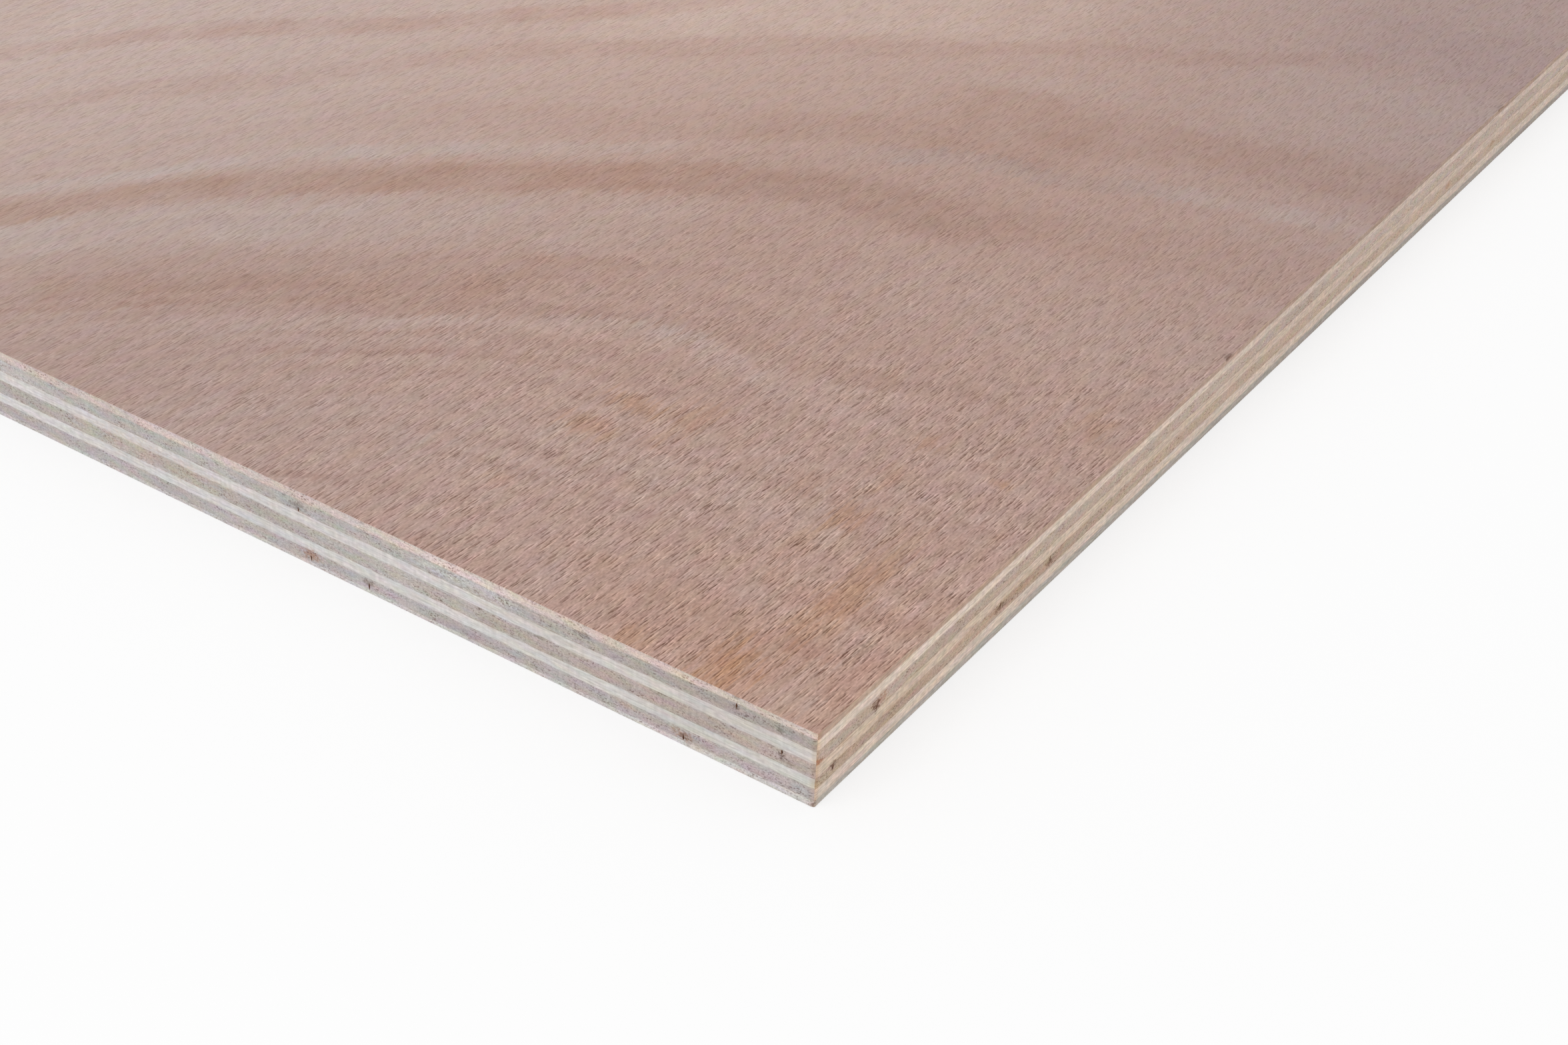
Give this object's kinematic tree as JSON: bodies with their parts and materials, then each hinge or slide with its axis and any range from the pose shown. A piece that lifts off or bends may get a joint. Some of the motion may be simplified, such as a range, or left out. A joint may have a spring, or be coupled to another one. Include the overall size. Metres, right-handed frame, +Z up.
{
  "type": "plywood sheet",
  "caption": "Flat rectangular sheet of hardwood plywood with sawn edges that show its cross-laid veneers, and an unfinished, fine-pored face.",
  "frame": {"origin": "centre of the sheet's underside, on the floor it lies on", "axes": "+X along the sheet's length, +Y across its width, +Z up through its thickness to the show face"},
  "size_m": [2.44, 1.22, 0.012],
  "materials": {
    "face_veneer": "sanded, unfinished pinkish brown hardwood",
    "upper_long_ply": "sawn edge, pale",
    "upper_cross_ply": "sawn edge, pale",
    "centre_ply": "sawn edge, light brown",
    "lower_cross_ply": "sawn edge, pale",
    "lower_long_ply": "sawn edge, mauve grey",
    "back_veneer": "sanded, unfinished hardwood"
  },
  "bodies": {
    "root": {"face_veneer": "face_veneer", "upper_long_ply": "upper_long_ply", "upper_cross_ply": "upper_cross_ply", "centre_ply": "centre_ply", "lower_cross_ply": "lower_cross_ply", "lower_long_ply": "lower_long_ply", "back_veneer": "back_veneer"}
  },
  "joints": []
}
